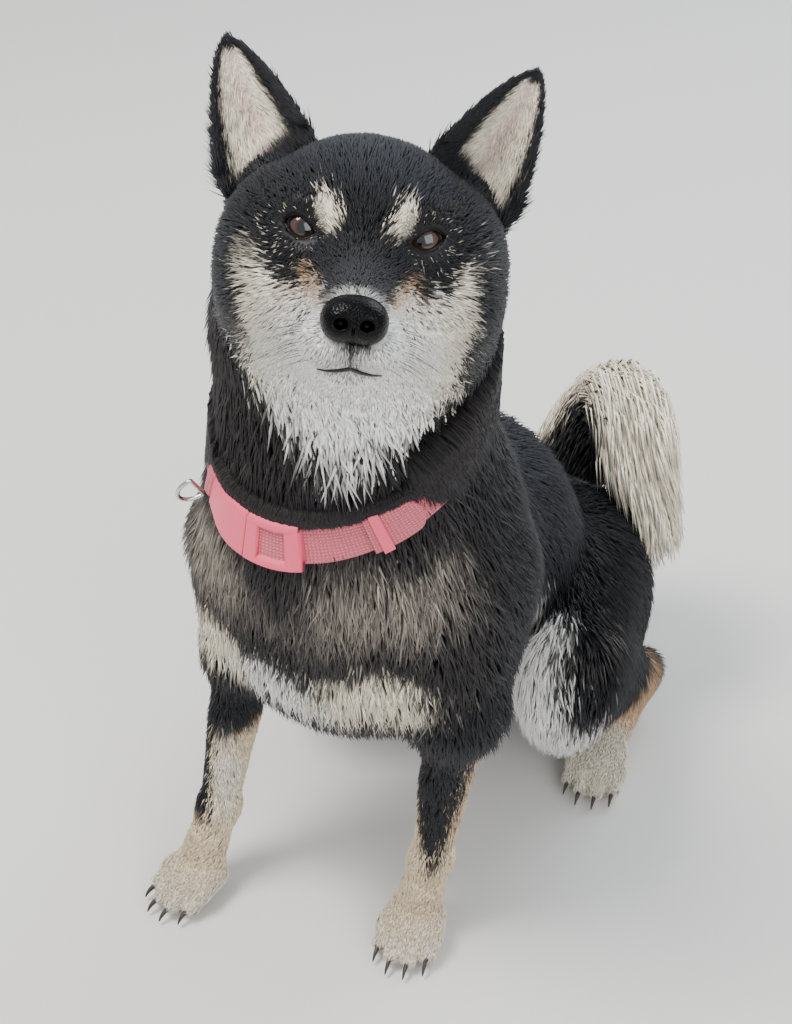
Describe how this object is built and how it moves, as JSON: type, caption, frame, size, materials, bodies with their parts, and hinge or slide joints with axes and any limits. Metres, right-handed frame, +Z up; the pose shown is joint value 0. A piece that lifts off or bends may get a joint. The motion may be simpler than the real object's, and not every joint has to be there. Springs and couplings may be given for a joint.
{
  "type": "seated shiba inu dog model",
  "caption": "Life-size still model of a seated black-and-tan shiba inu with pricked ears, lifted head, curled bushy tail and a plain webbing collar.",
  "frame": {"origin": "middle of the footprint, on the floor that the dog sits on", "axes": "+Z up, the chest faces -Y, the dog's left side is +X; the head is turned about 29 degrees to its left"},
  "size_m": [0.2698, 0.482, 0.5756],
  "materials": {
    "dark_coat": "dense black double coat, brownish on neck and chest, cream on cheeks, throat, chest, legs and tail fringe",
    "light_coat": "short cream fur",
    "eye": "wet, brown iris with a black pupil",
    "nose": "moist pebbled black skin",
    "claw": "dark horn",
    "webbing": "ribbed pink webbing",
    "buckle": "satin pink plastic",
    "ring": "polished steel"
  },
  "bodies": {
    "root": {"claw_front_left_1": "claw", "claw_front_left_2": "claw", "claw_front_left_3": "claw", "claw_front_left_4": "claw", "claw_front_right_1": "claw", "claw_front_right_2": "claw", "claw_front_right_3": "claw", "claw_front_right_4": "claw", "claw_hind_left_1": "claw", "claw_hind_left_2": "claw", "claw_hind_left_3": "claw", "claw_hind_left_4": "claw", "claw_hind_right_1": "claw", "claw_hind_right_2": "claw", "claw_hind_right_3": "claw", "claw_hind_right_4": "claw", "collar_buckle_prong": "buckle", "collar_buckle_socket": "buckle", "collar_ring": "ring", "collar_slide": "buckle", "collar_strap": "webbing", "collar_strap_end": "webbing", "ear_left": "dark_coat", "ear_right": "dark_coat", "eye_left": "eye", "eye_right": "eye", "front_leg_left": "dark_coat", "front_leg_right": "dark_coat", "front_paw_left": "light_coat", "front_paw_right": "light_coat", "head": "dark_coat", "hind_foot_left": "light_coat", "hind_foot_right": "light_coat", "hind_leg_left": "dark_coat", "hind_leg_right": "dark_coat", "neck": "dark_coat", "nose": "nose", "tail_base": "dark_coat", "tail_tip": "light_coat", "torso": "dark_coat"}
  },
  "joints": []
}
